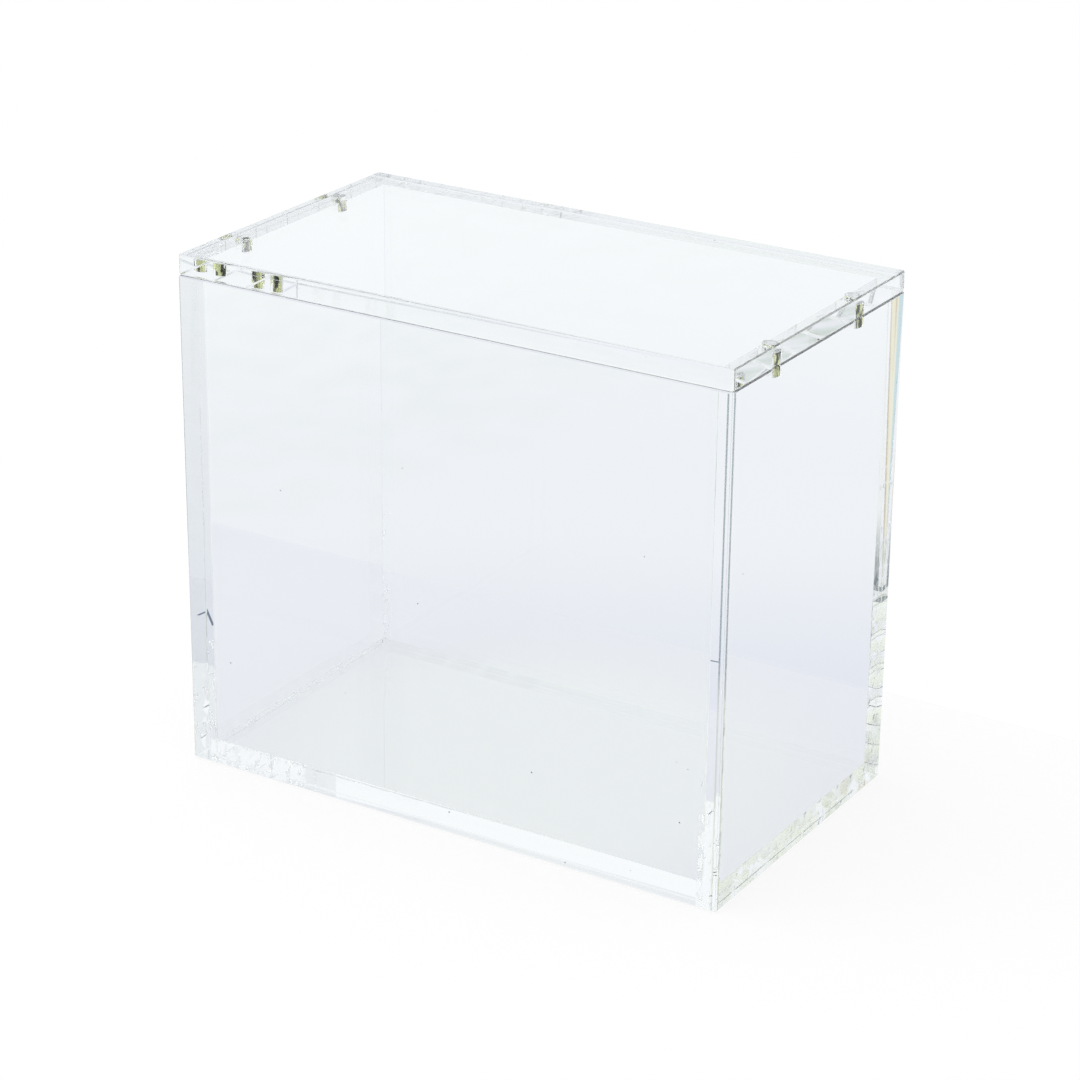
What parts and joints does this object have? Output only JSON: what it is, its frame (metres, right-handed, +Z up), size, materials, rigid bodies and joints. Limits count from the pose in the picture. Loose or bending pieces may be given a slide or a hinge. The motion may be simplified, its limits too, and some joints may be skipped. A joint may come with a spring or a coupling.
{
  "type": "acrylic storage box with lid",
  "caption": "Clear acrylic storage and display box of bonded sheets, with a loose flat lid held on by magnet pairs.",
  "frame": {"origin": "middle of the underside of the box, on the surface that it stands on", "axes": "+X along the long side to the right, +Y from the front to the back, +Z up through the lid"},
  "size_m": [0.205, 0.115, 0.181],
  "materials": {
    "clear_acrylic": "clear cast acrylic, polished",
    "magnet_nickel": "nickel plate"
  },
  "bodies": {
    "box": {"left_panel": "clear_acrylic", "right_panel": "clear_acrylic", "front_panel": "clear_acrylic", "back_panel": "clear_acrylic", "base_panel": "clear_acrylic", "wall_magnet_front_left": "magnet_nickel", "wall_magnet_front_right": "magnet_nickel", "wall_magnet_back_left": "magnet_nickel", "wall_magnet_back_right": "magnet_nickel"},
    "lid": {"lid_plate": "clear_acrylic", "lid_magnet_front_left": "magnet_nickel", "lid_magnet_front_right": "magnet_nickel", "lid_magnet_back_left": "magnet_nickel", "lid_magnet_back_right": "magnet_nickel"}
  },
  "joints": [
    {"name": "lid_lift", "type": "slide", "parent": "box", "child": "lid", "axis": [0, 0, 1], "range_m": [0, 0.18]}
  ]
}
